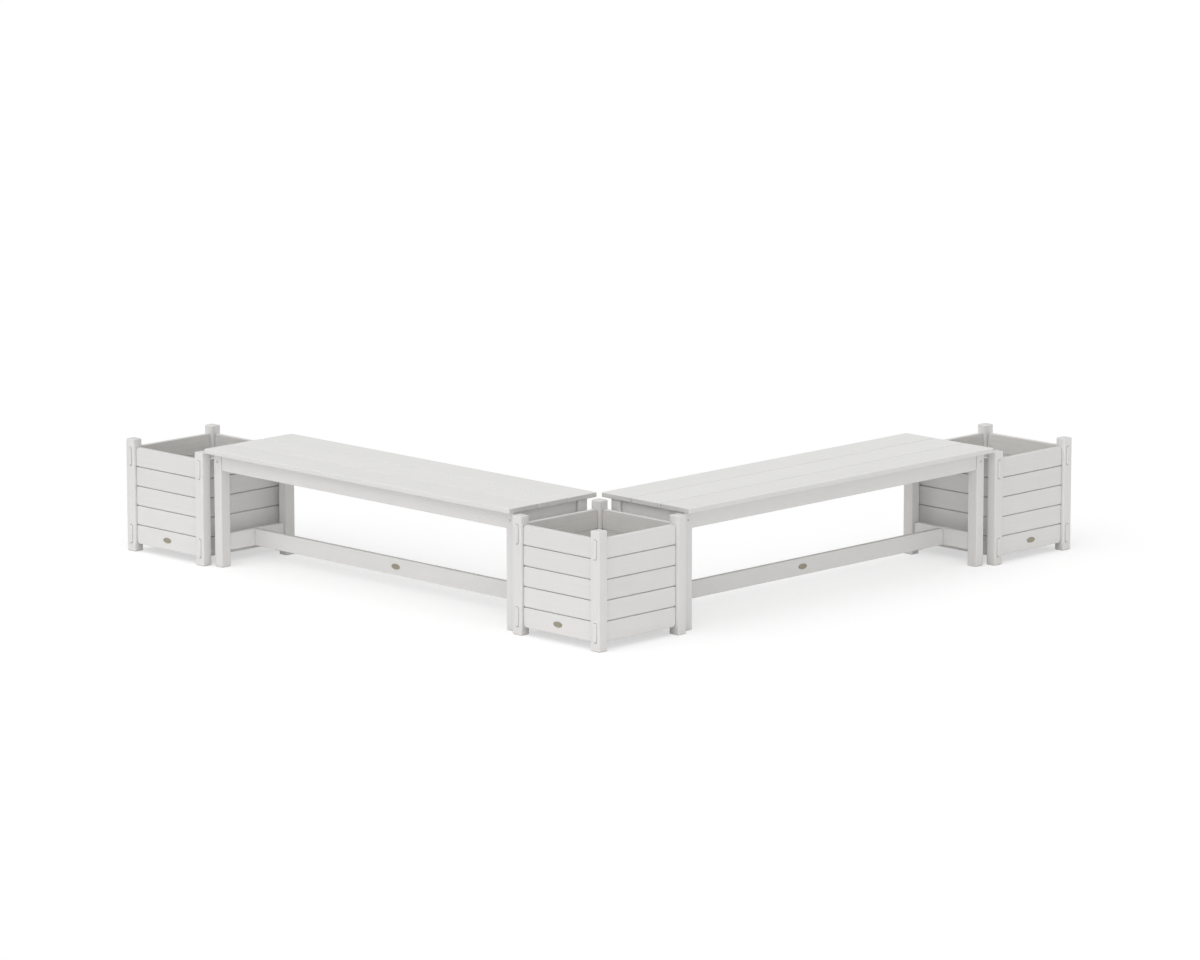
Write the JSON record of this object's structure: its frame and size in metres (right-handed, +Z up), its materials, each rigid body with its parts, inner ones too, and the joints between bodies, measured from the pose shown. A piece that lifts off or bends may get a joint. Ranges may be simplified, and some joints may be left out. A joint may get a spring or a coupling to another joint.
{
  "type": "bench with planter",
  "caption": "L-shaped outdoor seating set of slatted square planters and backless board benches, white recycled-plastic lumber with through-tenoned planter posts.",
  "frame": {"origin": "on the ground, at the middle of the set's outline", "axes": "+Z up; the arms of the L run along +X and +Y from the corner planter, which stands at -X, -Y"},
  "size_m": [2.446, 2.446, 0.4355],
  "materials": {
    "posts": "satin solid white recycled-plastic lumber with a faint lengthwise brushed grain",
    "slats": "satin solid white recycled-plastic lumber with a faint lengthwise brushed grain",
    "seats": "satin solid white recycled-plastic lumber, brushed along the board",
    "frame": "satin solid white recycled-plastic lumber with a faint lengthwise brushed grain"
  },
  "bodies": {
    "root": {"corner_planter_face_wall": "slats", "corner_planter_rear_wall": "slats", "corner_planter_left_wall": "slats", "corner_planter_right_wall": "slats", "corner_planter_face_left_post": "posts", "corner_planter_face_right_post": "posts", "corner_planter_rear_left_post": "posts", "corner_planter_rear_right_post": "posts", "corner_planter_floor": "frame", "right_planter_face_wall": "slats", "right_planter_rear_wall": "slats", "right_planter_left_wall": "slats", "right_planter_right_wall": "slats", "right_planter_face_left_post": "posts", "right_planter_face_right_post": "posts", "right_planter_rear_left_post": "posts", "right_planter_rear_right_post": "posts", "right_planter_floor": "frame", "left_planter_face_wall": "slats", "left_planter_rear_wall": "slats", "left_planter_left_wall": "slats", "left_planter_right_wall": "slats", "left_planter_face_left_post": "posts", "left_planter_face_right_post": "posts", "left_planter_rear_left_post": "posts", "left_planter_rear_right_post": "posts", "left_planter_floor": "frame", "right_bench_corner_outer_leg": "posts", "right_bench_corner_inner_leg": "posts", "right_bench_corner_apron": "frame", "right_bench_corner_stretcher": "frame", "right_bench_corner_batten": "frame", "right_bench_far_outer_leg": "posts", "right_bench_far_inner_leg": "posts", "right_bench_far_apron": "frame", "right_bench_far_stretcher": "frame", "right_bench_far_batten": "frame", "right_bench_outer_apron": "frame", "right_bench_inner_apron": "frame", "right_bench_long_stretcher": "frame", "right_bench_seat_board_1": "seats", "right_bench_seat_board_2": "seats", "right_bench_seat_board_3": "seats", "left_bench_corner_outer_leg": "posts", "left_bench_corner_inner_leg": "posts", "left_bench_corner_apron": "frame", "left_bench_corner_stretcher": "frame", "left_bench_corner_batten": "frame", "left_bench_far_outer_leg": "posts", "left_bench_far_inner_leg": "posts", "left_bench_far_apron": "frame", "left_bench_far_stretcher": "frame", "left_bench_far_batten": "frame", "left_bench_outer_apron": "frame", "left_bench_inner_apron": "frame", "left_bench_long_stretcher": "frame", "left_bench_seat_board_1": "seats", "left_bench_seat_board_2": "seats", "left_bench_seat_board_3": "seats"}
  },
  "joints": []
}
